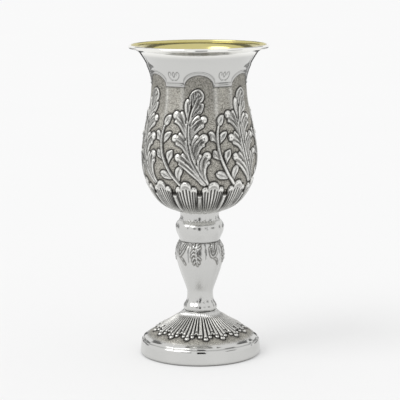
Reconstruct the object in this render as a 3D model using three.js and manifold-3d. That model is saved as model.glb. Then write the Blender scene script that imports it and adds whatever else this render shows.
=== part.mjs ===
// A silver goblet of four soldered pieces: a hollow foot, a cast baluster, a cast knop and a chased bowl.
// Lengths are in millimetres and angles in degrees. Z points up, the cup stands on the plane z = 0, and its
// front faces -Y. An angle of 0 is at the front and grows towards +X.
import * as THREE from "three";
import { mergeVertices } from "three/addons/utils/BufferGeometryUtils.js";
import Module from "manifold-3d";

const wasm = await Module();
wasm.setup();

// Soldered seams and the bore through the stem
const seamGap = 0.3;
const boreRadius = 3.5;

// Foot: outline. A pull is how far a curve's handle stands from its end, outwards and up.
const footHeight = 30;
const footRadius = 41;
const footBandHeight = 9.6;
const footBandTopRadius = 40;
const footShoulderRise = 2.2;
const footShoulderRadius = 38.3;
const footShoulderPull = [-9, 5];
const footTopPull = [2.4, -6.5];
const footTopRadius = 11;
const footWall = 0.9;
const footRingWidth = 5;
const footFacets = 8;
const footFacetDepth = 0.35;

// Foot: ring of fluted shells on the dome
const footShells = 16;
const footShellTurn = -15.5;
const footShellTipRadius = 34;
const footShellNotch = 3.4;
const footShellRootRadius = 12.5;
const footShellLift = 1.2;
const footShellStep = 0.8;
const footShellFall = 0.75;

// Baluster: outline from its lower end up
const balusterHeight = 47.1;
const bulgeRadius = 10.6;
const bulgeRise = 2.6;
const bulgePull = [-0.4, 4];
const waistRadius = 8.8;
const waistRise = 12;
const waistLowerPull = [0, -4.5];
const waistUpperPull = [0, 7.5];
const stemBellyRadius = 16.3;
const stemBellyRise = 39;
const stemBellyLowerPull = [0, -15];
const stemBellyUpperPull = [0, 4];
const creaseRadius = 13.4;
const creasePull = [0.9, -1.6];
const stemLobes = 8;
const stemLobeDepth = 0.35;

// Baluster: cast leaves that hang from its crease. A side leaf is given as shares of the middle one.
const castLeafTopDrop = 2.2;
const castLeafLength = 15.5;
const castLeafHalfWidth = 2.3;
const castLeafLift = 0.9;
const castLeafSpread = 4;
const sideLeafLength = 0.62;
const sideLeafWidth = 0.75;

// Knop and its collar
const knopHeight = 20;
const knopRadius = 16.4;
const knopRise = 9.4;
const knopFootPull = [0.7, 3.2];
const knopLowerPull = [0, -4.2];
const knopUpperPull = [0, 3.4];
const collarRadius = 13.5;
const collarHeight = 5;
const collarPull = [0.4, -2];
const knopLobeDepth = 0.3;

// Bowl: outline from its seat on the collar up
const bowlHeight = 112;
const bowlSeatRadius = 13.4;
const bowlSeatRise = 0.3;
const bowlSeatPull = [15.5, 2.7];
const bellyRadius = 38.2;
const bellyRise = 39.5;
const bellyLowerPull = [0, -19];
const bellyUpperPull = [0, 17.2];
const neckRadius = 31.5;
const neckRise = 86;
const neckLowerPull = [0, -17.2];
const neckUpperPull = [0, 8];
const flareRadius = 39.4;
const flareDrop = 5.4;
const flarePull = [-4, -4.5];
const lipRadius = 47;
const lipBead = 1.2;
const lipBeadTurns = [-50, 20, 90];
const bowlWall = 0.9;
const bowlFloor = 1.8;

// Bowl: calyx of shells round its lower end
const calyxShells = 12;
const calyxJointRise = 17.5;
const calyxCrownRise = 24.2;
const calyxCrownRoundness = 2.5;
const calyxLift = 1.4;
const calyxFluteDepth = 0.5;
const calyxJointShare = 0.9;
const calyxStep = 0.7;

// Bowl: scalloped border under the plain top
const panels = 6;
const borderRise = 88.6;
const archRise = 6;
const archHalfAngle = 18.5;
const borderWidth = 1.3;
const borderLift = 0.45;
const borderSlope = 0.4;
const plainTopLift = 0.2;
const plainTopHeight = 4;

// Bowl: one panel of the leaf band, in hundredths of the panel's width and of the band's height
const leafBandRise = 23;
const leafBandHeight = 62;
const plumeRib = [[15, 0], [-5, 17], [-20, 37], [-22, 58], [-12, 79], [-2, 94]];
const plumeLobes = [
  { path: [[8, 2], [-3, 26], [16, 32]], halfWidth: 4.1 },
  { path: [[-15, 24], [-12, 47], [12, 51]], halfWidth: 4.4 },
  { path: [[-20, 45], [-13, 66], [12, 69]], halfWidth: 4.2 },
  { path: [[0, 2], [-19, 25], [-39, 31]], halfWidth: 3.9 },
  { path: [[-19, 32], [-26, 48], [-46, 51]], halfWidth: 4 },
  { path: [[-22, 49], [-27, 68], [-47, 75]], halfWidth: 4 },
  { path: [[-21, 64], [-32, 78], [-24, 92]], halfWidth: 2.6 },
  { path: [[-14, 68], [4, 74], [9, 87]], halfWidth: 2.8 },
  { path: [[-14, 68], [-14, 90], [1, 102]], halfWidth: 6 },
];
const sprigStem = [[63, 0], [48, 11], [38, 25], [32, 41], [32, 54], [36, 63]];
const sprigLeaves = [
  { path: [[35, 60], [39, 68], [47, 74]], halfWidth: 2.5 },
  { path: [[35, 42], [42, 52], [52, 56]], halfWidth: 2.1 },
  { path: [[31, 43], [20, 50], [16, 57]], halfWidth: 2.1 },
  { path: [[38, 24], [28, 31], [22, 38]], halfWidth: 2.1 },
  { path: [[45, 17], [46, 29], [56, 37]], halfWidth: 2.3 },
  { path: [[47, 6], [36, 10], [25, 8]], halfWidth: 2.6 },
];
const ribHalfWidth = 1;
const ribLift = 1.3;
const plumeLift = 1.6;
const sprigLift = 0.9;
const leafSink = 0.8;

// Sections of a relief form: share of its length, share of its width and share of its lift
const lobeSections = [[0.52, 0.72, 0.95], [0.9, 1, 1]];
const bladeSections = [[0.4, 0.95, 1], [0.8, 0.75, 0.8]];

// Fineness of the surfaces
const bowlColumns = 48;
const bandColumns = 30;
const stemColumns = 32;
const footColumns = 64;
const boreColumns = 12;
const cavityColumns = 24;
const shortRows = 2;
const longRows = 3;
const swellRows = 4;
const bandRows = 6;
const plumeRibSections = 4;
const sprigStemSections = 3;
const halvings = 30;

// Heights of the four pieces above the table
const balusterBase = footHeight + seamGap;
const knopBase = balusterBase + balusterHeight + seamGap;
const bowlBase = knopBase + knopHeight + seamGap;
const bowlTop = bowlBase + bowlHeight;

// Colours and surfaces
const silver = { color: 0xd2d4ce, metalness: 1, roughness: 0.18 };
const darkenedSilver = { color: 0xa9a79d, metalness: 0.9, roughness: 0.4 };

const radians = THREE.MathUtils.degToRad;

// Solids and geometries

function solidOf(geometry) {
  geometry.deleteAttribute("normal");
  geometry.deleteAttribute("uv");
  const merged = mergeVertices(geometry);
  const mesh = new wasm.Mesh({
    numProp: 3,
    vertProperties: new Float32Array(merged.getAttribute("position").array),
    triVerts: new Uint32Array(merged.index.array),
  });
  return new wasm.Manifold(mesh);
}

function geometryOf(solid) {
  const mesh = solid.getMesh();
  const geometry = new THREE.BufferGeometry();
  geometry.setAttribute("position", new THREE.BufferAttribute(mesh.vertProperties, 3));
  geometry.setIndex(new THREE.BufferAttribute(mesh.triVerts, 1));
  const faceted = geometry.toNonIndexed();
  faceted.computeVertexNormals();
  return faceted;
}

function piece(name, solid, look) {
  const mesh = new THREE.Mesh(geometryOf(solid), new THREE.MeshStandardMaterial(look));
  mesh.name = name;
  return mesh;
}

// Turned surfaces. A station gives the radius and height of one ring of points at each angle.

function ring(radius, height) {
  return () => [radius, height];
}

function rows(count, station) {
  return Array.from({ length: count + 1 }, (_, row) => station(row / count));
}

function turned(stations, columns) {
  const outline = stations.map((station) => new THREE.Vector2(...station(0)));
  const geometry = new THREE.LatheGeometry(outline, columns);
  const position = geometry.getAttribute("position");
  for (let index = 0; index < position.count; index += 1) {
    const angle = (360 * Math.floor(index / stations.length)) / columns;
    const [radius, height] = stations[index % stations.length](angle);
    const across = radius * Math.sin(radians(angle));
    const back = -radius * Math.cos(radians(angle));
    position.setXYZ(index, across, back, height);
  }
  return solidOf(geometry);
}

// Curves of radius and height

function sweep(from, fromPull, toPull, to) {
  const points = [
    from,
    [from[0] + fromPull[0], from[1] + fromPull[1]],
    [to[0] + toPull[0], to[1] + toPull[1]],
    to,
  ];
  return new THREE.CubicBezierCurve(...points.map((point) => new THREE.Vector2(...point)));
}

// A point on a curve, moved outwards along the curve's normal.
function lifted(curve, share, lift) {
  const point = curve.getPoint(share);
  const tangent = curve.getTangent(share);
  return [point.x + lift * tangent.y, point.y - lift * tangent.x];
}

// The share of a curve at which a measure that only rises, or only falls, reaches a value.
function shareWhere(curve, measure, value) {
  const rises = measure(curve.getPoint(1)) > measure(curve.getPoint(0));
  let low = 0;
  let high = 1;
  for (let step = 0; step < halvings; step += 1) {
    const middle = (low + high) / 2;
    const isBelow = measure(curve.getPoint(middle)) < value;
    if (isBelow === rises) low = middle;
    else high = middle;
  }
  return (low + high) / 2;
}

const shareAtHeight = (curve, height) => shareWhere(curve, (point) => point.y, height);
const shareAtRadius = (curve, radius) => shareWhere(curve, (point) => point.x, radius);

// Angle from the nearest copy of a motif that repeats round the axis, as a share of half its pitch.
function shareOfMotif(angle, copies, turn = 0) {
  const offset = ((angle - turn) * copies) / 360;
  return 2 * Math.abs(offset - Math.round(offset));
}

// A relief form along a curve on the unrolled wall: a ridge with one crest and two feet that are sunk into
// the wall, closed to a point at both ends. Each section gives shares of its length, width and lift.
function ridge(curve, halfWidth, lift, sections, toWall) {
  const sides = 3;
  const geometry = new THREE.SphereGeometry(1, sides, sections.length + 1);
  const position = geometry.getAttribute("position");
  for (let index = 0; index < position.count; index += 1) {
    const row = Math.floor(index / (sides + 1));
    const isEnd = row === 0 || row > sections.length;
    const [reach, width, height] = isEnd ? [Math.sign(row), 0, 0] : sections[row - 1];
    const isCrest = position.getX(index) < 0;
    const side = isEnd || isCrest ? 0 : -Math.sign(position.getZ(index));
    const centre = curve.getPoint(reach);
    const tangent = curve.getTangent(reach);
    const across = centre.x + side * width * halfWidth * tangent.y;
    const up = centre.y - side * width * halfWidth * tangent.x;
    position.setXYZ(index, ...toWall(across, up, isCrest && !isEnd ? height * lift : -leafSink));
  }
  return solidOf(geometry);
}

// Sections of a ridge that keeps its width, as a stem does.
function evenSections(count) {
  return rows(count + 1, (share) => [share, 1, 1]).slice(1, -1);
}

// Foot

function footSolid() {
  const shoulderHeight = footBandHeight + footShoulderRise;
  const shoulder = [footShoulderRadius, shoulderHeight];
  const dome = sweep(shoulder, footShoulderPull, footTopPull, [footTopRadius, footHeight]);

  const facet = (angle) => footFacetDepth * Math.cos(radians(footFacets * angle));
  const bandTop = (angle) => [footBandTopRadius - facet(angle), footBandHeight];

  const rootShare = shareAtRadius(dome, footShellRootRadius);
  const edgeShare = (angle, step = 0) => {
    const offset = shareOfMotif(angle, footShells, footShellTurn);
    return shareAtRadius(dome, footShellTipRadius - footShellNotch * offset ** 2 + step);
  };
  const shellRing = (climb) => (angle) => {
    const crest = 1 - footShellFall * shareOfMotif(angle, footShells, footShellTurn);
    const share = THREE.MathUtils.lerp(edgeShare(angle), rootShare, climb);
    return lifted(dome, share, climb < 1 ? footShellLift * crest : 0);
  };
  const shellStep = (angle) => lifted(dome, edgeShare(angle, footShellStep), 0);

  const outside = turned(
    [
      ring(0, 0),
      ring(footRadius, 0),
      bandTop,
      ring(...shoulder),
      shellStep,
      ...rows(shortRows, shellRing),
      ring(footTopRadius, footHeight),
      ring(0, footHeight),
    ],
    footColumns,
  );

  const innerRadius = Math.min(footRadius, footBandTopRadius) - footFacetDepth - footWall;
  const cavity = turned(
    [
      ring(0, -footWall),
      ring(footRadius - footRingWidth, -footWall),
      ring(footRadius - footRingWidth, footWall),
      ring(innerRadius, footWall),
      ring(innerRadius, footBandHeight - footWall / 2),
      ...rows(longRows, (share) => ring(...lifted(dome, share, -footWall))).slice(0, -1),
      ring(boreRadius, footHeight - 3 * footWall),
      ring(boreRadius, footHeight + footWall),
      ring(0, footHeight + footWall),
    ],
    cavityColumns,
  );
  return outside.subtract(cavity);
}

// Cast pieces of the stem, which share one lobed section and one bore

function lobedRows(curve, count, base, depth) {
  return rows(count, (share) => (angle) => {
    const point = curve.getPoint(share);
    return [point.x + depth * Math.cos(radians(stemLobes * angle)), base + point.y];
  });
}

function bored(body, base, height) {
  const from = base - footWall;
  const to = base + height + footWall;
  const bore = [ring(0, from), ring(boreRadius, from), ring(boreRadius, to), ring(0, to)];
  return body.subtract(turned(bore, boreColumns));
}

function balusterSolid() {
  const bulge = [bulgeRadius, bulgeRise];
  const waist = [waistRadius, waistRise];
  const belly = [stemBellyRadius, stemBellyRise];
  const crease = [creaseRadius, balusterHeight];
  const lower = sweep(bulge, bulgePull, waistLowerPull, waist);
  const swell = sweep(waist, waistUpperPull, stemBellyLowerPull, belly);
  const shoulder = sweep(belly, stemBellyUpperPull, creasePull, crease);
  const body = turned(
    [
      ring(0, balusterBase),
      ring(footTopRadius, balusterBase),
      ...lobedRows(lower, shortRows, balusterBase, stemLobeDepth),
      ...lobedRows(swell, swellRows, balusterBase, stemLobeDepth).slice(1),
      ...lobedRows(shoulder, longRows, balusterBase, stemLobeDepth).slice(1, -1),
      ring(creaseRadius, balusterBase + balusterHeight),
      ring(0, balusterBase + balusterHeight),
    ],
    stemColumns,
  );

  const wallRadius = (rise) => {
    const curve = rise > stemBellyRise ? shoulder : swell;
    return curve.getPoint(shareAtHeight(curve, rise)).x;
  };
  const leafTop = balusterHeight - castLeafTopDrop;
  const castLeaf = (turn, side) => {
    const toWall = (across, up, out) => {
      const angle = radians(turn) + across / stemBellyRadius;
      const radius = wallRadius(up) + stemLobeDepth * Math.cos(stemLobes * angle) + out;
      return [radius * Math.sin(angle), -radius * Math.cos(angle), balusterBase + up];
    };
    const length = castLeafLength * (side ? sideLeafLength : 1);
    const spread = side * castLeafSpread;
    const curve = new THREE.QuadraticBezierCurve(
      new THREE.Vector2(spread / 4, leafTop),
      new THREE.Vector2(spread / 4, leafTop - length / 2),
      new THREE.Vector2(spread, leafTop - length),
    );
    const halfWidth = castLeafHalfWidth * (side ? sideLeafWidth : 1);
    return ridge(curve, halfWidth, castLeafLift, side ? bladeSections : lobeSections, toWall);
  };

  let solid = body;
  for (let copy = 0; copy < stemLobes; copy += 1) {
    const turn = (360 * copy) / stemLobes;
    const hasSideLeaves = copy % 2 === 0;
    solid = solid.add(castLeaf(turn, 0));
    if (hasSideLeaves) solid = solid.add(castLeaf(turn, -1)).add(castLeaf(turn, 1));
  }
  return bored(solid, balusterBase, balusterHeight);
}

function knopSolid() {
  const collarFoot = [collarRadius, knopHeight - collarHeight];
  const lower = sweep([creaseRadius, 0], knopFootPull, knopLowerPull, [knopRadius, knopRise]);
  const upper = sweep([knopRadius, knopRise], knopUpperPull, collarPull, collarFoot);
  const body = turned(
    [
      ring(0, knopBase),
      ring(creaseRadius, knopBase),
      ...lobedRows(lower, longRows, knopBase, knopLobeDepth).slice(1),
      ...lobedRows(upper, longRows, knopBase, knopLobeDepth).slice(1, -1),
      ring(collarRadius, knopBase + knopHeight - collarHeight),
      ring(collarRadius, knopBase + knopHeight),
      ring(0, knopBase + knopHeight),
    ],
    stemColumns,
  );
  return bored(body, knopBase, knopHeight);
}

// Bowl

const seat = [bowlSeatRadius, bowlSeatRise];
const belly = [bellyRadius, bellyRise];
const neck = [neckRadius, neckRise];
const flare = [flareRadius, bowlHeight - flareDrop];
const bowlUnder = sweep(seat, bowlSeatPull, bellyLowerPull, belly);
const bowlSide = sweep(belly, bellyUpperPull, neckLowerPull, neck);
const bowlFlare = sweep(neck, neckUpperPull, flarePull, flare);

function bowlRadius(rise) {
  const upper = rise < neckRise ? bowlSide : bowlFlare;
  const curve = rise < bellyRise ? bowlUnder : upper;
  return curve.getPoint(shareAtHeight(curve, rise)).x;
}

// A point of the leaf band: hundredths of one panel's width and of the band's height.
function bandPoint([across, up]) {
  const panelWidth = (2 * Math.PI * bellyRadius) / panels;
  return new THREE.Vector2((across * panelWidth) / 100, (up * leafBandHeight) / 100);
}

function panelForms(copy) {
  const turn = (360 * copy) / panels;
  const toWall = (across, up, out) => {
    const angle = radians(turn) + across / bellyRadius;
    const rise = leafBandRise + up;
    const radius = bowlRadius(rise) + out;
    return [radius * Math.sin(angle), -radius * Math.cos(angle), bowlBase + rise];
  };
  const rib = (points, count) => {
    const curve = new THREE.SplineCurve(points.map(bandPoint));
    return ridge(curve, ribHalfWidth, ribLift, evenSections(count), toWall);
  };
  const leaf = ({ path, halfWidth }, lift, sections) => {
    const curve = new THREE.QuadraticBezierCurve(...path.map(bandPoint));
    return ridge(curve, halfWidth, lift, sections, toWall);
  };
  return [
    rib(plumeRib, plumeRibSections),
    rib(sprigStem, sprigStemSections),
    ...plumeLobes.map((lobe) => leaf(lobe, plumeLift, lobeSections)),
    ...sprigLeaves.map((blade) => leaf(blade, sprigLift, bladeSections)),
  ];
}

// One ring of the calyx, from the seat up to the crowned edge of its shells.
function calyxRing(climb) {
  return (angle) => {
    const offset = shareOfMotif(angle, calyxShells, 180 / calyxShells);
    const crown = Math.sqrt(1 - offset ** calyxCrownRoundness);
    const rise = THREE.MathUtils.lerp(calyxJointRise, calyxCrownRise, crown);
    const share = shareAtHeight(bowlUnder, rise) * climb;
    const flute = 1 - calyxFluteDepth * Math.abs(Math.sin(1.5 * Math.PI * offset));
    const crest = offset > calyxJointShare ? 0 : flute;
    const [radius, height] = lifted(bowlUnder, share, calyxLift * crest * Math.sin((Math.PI / 2) * climb));
    return [radius, bowlBase + height];
  };
}

function calyxStepRing(angle) {
  const [, height] = calyxRing(1)(angle);
  const rise = height - bowlBase + calyxStep;
  return [bowlRadius(rise), bowlBase + rise];
}

function borderRing(offset, lift) {
  return (angle) => {
    const fromArch = (shareOfMotif(angle, panels) * 180) / panels / archHalfAngle;
    const arch = fromArch < 1 ? archRise * Math.sqrt(1 - fromArch ** 2) : 0;
    const rise = borderRise + arch + offset;
    return [bowlRadius(rise) + lift, bowlBase + rise];
  };
}

function bowlSolid() {
  const wallRing = (rise, lift = 0) => ring(bowlRadius(rise) + lift, bowlBase + rise);

  const calyx = turned(
    [
      ring(0, bowlBase),
      ring(bowlSeatRadius, bowlBase),
      ...rows(longRows, calyxRing),
      calyxStepRing,
      ring(0, bowlBase + calyxJointRise),
    ],
    bowlColumns,
  );

  const bandStart = calyxJointRise - calyxStep;
  const bandEnd = borderRise + archRise;
  const band = turned(
    [
      ring(0, bowlBase + bandStart),
      ...rows(bandRows, (climb) => wallRing(THREE.MathUtils.lerp(bandStart, bandEnd, climb))),
      ring(0, bowlBase + bandEnd),
    ],
    bandColumns,
  );

  const halfBorder = borderWidth / 2;
  const lipBeadRing = (turn) => {
    const out = lipBead * Math.cos(radians(turn));
    const up = lipBead * Math.sin(radians(turn));
    return ring(lipRadius - lipBead + out, bowlTop - lipBead + up);
  };
  const top = turned(
    [
      ring(0, bowlBase + borderRise),
      borderRing(-halfBorder - borderSlope, -leafSink),
      borderRing(-halfBorder, borderLift),
      borderRing(halfBorder, borderLift),
      borderRing(halfBorder + borderSlope, plainTopLift),
      wallRing(bowlHeight - flareDrop - plainTopHeight, plainTopLift),
      wallRing(bowlHeight - flareDrop),
      ...lipBeadTurns.map(lipBeadRing),
      ring(0, bowlTop),
    ],
    bowlColumns,
  );

  let solid = calyx.add(band).add(top);
  for (let copy = 0; copy < panels; copy += 1) {
    for (const form of panelForms(copy)) solid = solid.add(form);
  }
  return solid.subtract(bowlCavity());
}

function bowlCavity() {
  const inwards = (curve, count) => {
    const inner = (share) => {
      const [radius, height] = lifted(curve, share, -bowlWall);
      return ring(radius, bowlBase + height);
    };
    return rows(count, inner).slice(0, -1);
  };
  return turned(
    [
      ring(0, bowlBase + bowlFloor),
      ...inwards(bowlUnder, swellRows),
      ...inwards(bowlSide, longRows),
      ...inwards(bowlFlare, shortRows),
      ring(flareRadius, bowlTop - flareDrop + bowlWall),
      ring(lipRadius - 2 * lipBead, bowlTop - lipBead),
      ring(lipRadius - lipBead, bowlTop + bowlWall),
      ring(0, bowlTop + bowlWall),
    ],
    cavityColumns,
  );
}

const cup = new THREE.Group();
cup.add(piece("foot", footSolid(), silver));
cup.add(piece("baluster", balusterSolid(), silver));
cup.add(piece("knop", knopSolid(), silver));
cup.add(piece("bowl", bowlSolid(), darkenedSilver));

export default cup;
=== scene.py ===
import math

import bpy
import numpy as np
from bpy.props import FloatProperty, FloatVectorProperty, IntProperty, PointerProperty
from mathutils import Matrix, Vector


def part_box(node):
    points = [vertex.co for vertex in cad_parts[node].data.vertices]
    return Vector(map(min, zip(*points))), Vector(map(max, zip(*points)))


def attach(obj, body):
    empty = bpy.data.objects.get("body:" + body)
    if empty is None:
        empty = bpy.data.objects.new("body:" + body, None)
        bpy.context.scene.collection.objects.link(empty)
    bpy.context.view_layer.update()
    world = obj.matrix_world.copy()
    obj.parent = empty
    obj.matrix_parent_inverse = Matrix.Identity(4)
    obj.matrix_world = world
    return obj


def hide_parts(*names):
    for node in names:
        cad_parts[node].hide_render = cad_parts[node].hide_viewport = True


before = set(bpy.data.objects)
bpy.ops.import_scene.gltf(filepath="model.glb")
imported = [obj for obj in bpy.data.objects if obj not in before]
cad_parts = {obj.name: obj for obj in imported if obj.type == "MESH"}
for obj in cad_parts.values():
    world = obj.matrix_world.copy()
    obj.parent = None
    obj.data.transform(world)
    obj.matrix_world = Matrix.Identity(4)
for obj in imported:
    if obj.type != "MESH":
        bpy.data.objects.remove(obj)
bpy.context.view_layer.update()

bl_info = {
    "name": "Chased silver goblet",
    "version": (1, 0, 0),
    "blender": (4, 5, 0),
    "location": "View3D > Sidebar > Goblet",
    "description": "Builds a chased and gilded silver goblet piece by piece around its solids",
    "category": "Object",
}

# Lengths in outlines and carvings are in millimetres. Angles are in degrees, 0 at the front and growing
# towards +X.
MM = 0.001
SLACK = 0.02  # keeps the lip and the foot's band inside the boxes of their solids
STEM_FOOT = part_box("baluster")[0].z / MM
KNOP_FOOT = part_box("knop")[0].z / MM
BOWL_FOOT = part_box("bowl")[0].z / MM
BOWL_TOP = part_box("bowl")[1].z / MM
LIP_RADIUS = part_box("bowl")[1].x / MM - SLACK
FOOT_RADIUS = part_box("foot")[1].x / MM - SLACK

# Bowl: curves of its wall from the seat up, each a start, two pulls and an end of radius and height
UNDER = ((13.4, 98.3), (28.9, 101.0), (38.2, 118.5), (38.2, 137.5))
SIDE = ((38.2, 137.5), (38.2, 154.7), (31.5, 166.8), (31.5, 184.0))
FLARE = ((31.5, 184.0), (31.3, 193.0), (36.6, 200.3), (39.4, 204.6))
LIP = ((39.4, 204.6), (40.1, 205.7), (41.4, 206.5), (45.2, 207.5))
UNDER_STEPS = 120
# Bowl: pitch of the rows from each height on, fine where the wall is carved
BOWL_ROWS = ((98, 0.75), (112, 0.61), (187, 0.7), (196.5, 1.3), (210, 0))
CARVED_TOP = 198
SEAT_RADIUS = 12.9
CAVITY_ROOT = 14.0  # radius where the gilding's wall meets its floor
CAVITY_PITCH = 6.5
GILDING_GAP = 0.02  # from the cavity's wall to the gilding's back and to its face
GILDING_DEPTH = 0.28

# Foot: levels and radii
DOME_EDGE = (38.3, 11.8)
DOME_TOP = (11.0, 29.98)
BAND_TOP = (40.35, 8.2)
BAND_EDGE = (39.3, 10.3)
STANDING_RING = 36.0
HOLLOW_RADIUS = 38.7
FOOT_TURN = 15.5  # a shell's middle stands this far before the front


# ------------------------------------------------------------------ shapes of numbers

def ease(value, low, high):
    """A smooth step from 0 to 1."""
    share = np.clip((value - low) / (high - low), 0, 1)
    return share * share * (3 - 2 * share)


def peak(value, at, width):
    """A bell, 1 at its middle."""
    return np.exp(-(((value - at) / width) ** 2))


def hump(share):
    """A half circle over shares from -1 to 1."""
    return np.sqrt(np.clip(1 - share ** 2, 0, 1))


def nearest(angle, pitch, at=0.0):
    """The angle from the nearest copy of a motif that repeats round the axis."""
    return (angle - at + pitch / 2) % pitch - pitch / 2


def arc_length(angle, radius):
    return angle * radius * math.pi / 180


def lobes(angle):
    """Eight soft lobes with narrow valleys between them, 1 on a lobe's crest and 0 in a valley."""
    return np.abs(np.cos(np.radians(4 * (angle + 6)))) ** 0.8


# ------------------------------------------------------------------ outlines

def bezier(start, pull_start, pull_end, end, steps):
    """Points of one curve of radius and height, its last point left out."""
    share = (np.arange(steps) / steps)[:, None]
    start, pull_start, pull_end, end = np.array([start, pull_start, pull_end, end], float)
    return ((1 - share) ** 3 * start + 3 * (1 - share) ** 2 * share * pull_start
            + 3 * (1 - share) * share ** 2 * pull_end + share ** 3 * end)


def joined(base, start, *legs):
    """Points of curves in a row, above a base. A leg gives its two pulls, its end and its steps."""
    parts = []
    for *corners, steps in legs:
        lifted = [(radius, base + rise) for radius, rise in (start, *corners)]
        parts.append(bezier(*lifted, steps))
        start = corners[-1]
    return np.vstack([*parts, lifted[-1:]])


def arc(centre, radius, start, end, steps):
    """Points on a circle in the plane of radius and height, between two angles."""
    turn = np.radians(start + (end - start) * np.arange(steps) / steps)
    return np.stack([centre[0] + radius * np.cos(turn), centre[1] + radius * np.sin(turn)], 1)


def along(points, count_for):
    """Points at equal steps along a line, their number found from its length, and their shares."""
    length = np.concatenate([[0], np.cumsum(np.hypot(*np.diff(points, axis=0).T))])
    at = np.linspace(0, length[-1], count_for(length[-1]))
    line = np.stack([np.interp(at, length, points[:, 0]), np.interp(at, length, points[:, 1])], 1)
    return line, at / length[-1]


def even(points, pitch):
    """The same outline with its points about one pitch apart."""
    return along(points, lambda length: max(2, int(round(length / pitch)) + 1))[0]


def stations(wall, *parts):
    """A wall's points, with one pitch from each stated height on."""
    pieces = []
    for (low, pitch), (high, _) in zip(parts, parts[1:]):
        inside = wall[(wall[:, 1] >= low) & (wall[:, 1] < high)]
        if pieces:
            inside = np.vstack([pieces[-1][-1:], inside])
        pieces.append(even(inside, pitch)[1 if pieces else 0:])
    return np.vstack(pieces)


def bowl_wall():
    """The outside of the bowl before it is carved."""
    curves = ((UNDER, UNDER_STEPS), (SIDE, 120), (FLARE, 60), (LIP, 24))
    return np.vstack([bezier(*curve, steps) for curve, steps in curves])


def inner_wall(wall, thickness):
    """The wall moved inwards along its normals."""
    slope = np.gradient(wall, axis=0)
    slope /= np.hypot(*slope.T)[:, None]
    return wall - thickness * np.stack([slope[:, 1], -slope[:, 0]], 1)


# ------------------------------------------------------------------ carving

CURVE_STEPS = 12  # between two given points of a line
LINE_STEP = 0.12


def smooth_line(points):
    """A smooth line through points, cut into short steps, with the share of its length at each step."""
    if len(points) > 2:
        padded = np.vstack([2 * points[0] - points[1], points, 2 * points[-1] - points[-2]])
        share = (np.arange(CURVE_STEPS) / CURVE_STEPS)[:, None]
        parts = [0.5 * (2 * second + (third - first) * share
                        + (2 * first - 5 * second + 4 * third - fourth) * share ** 2
                        + (3 * second - first - 3 * third + fourth) * share ** 3)
                 for first, second, third, fourth in zip(padded, padded[1:], padded[2:], padded[3:])]
        points = np.vstack([*parts, points[-1:]])
    return along(points, lambda length: max(3, int(length / LINE_STEP)))


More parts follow.
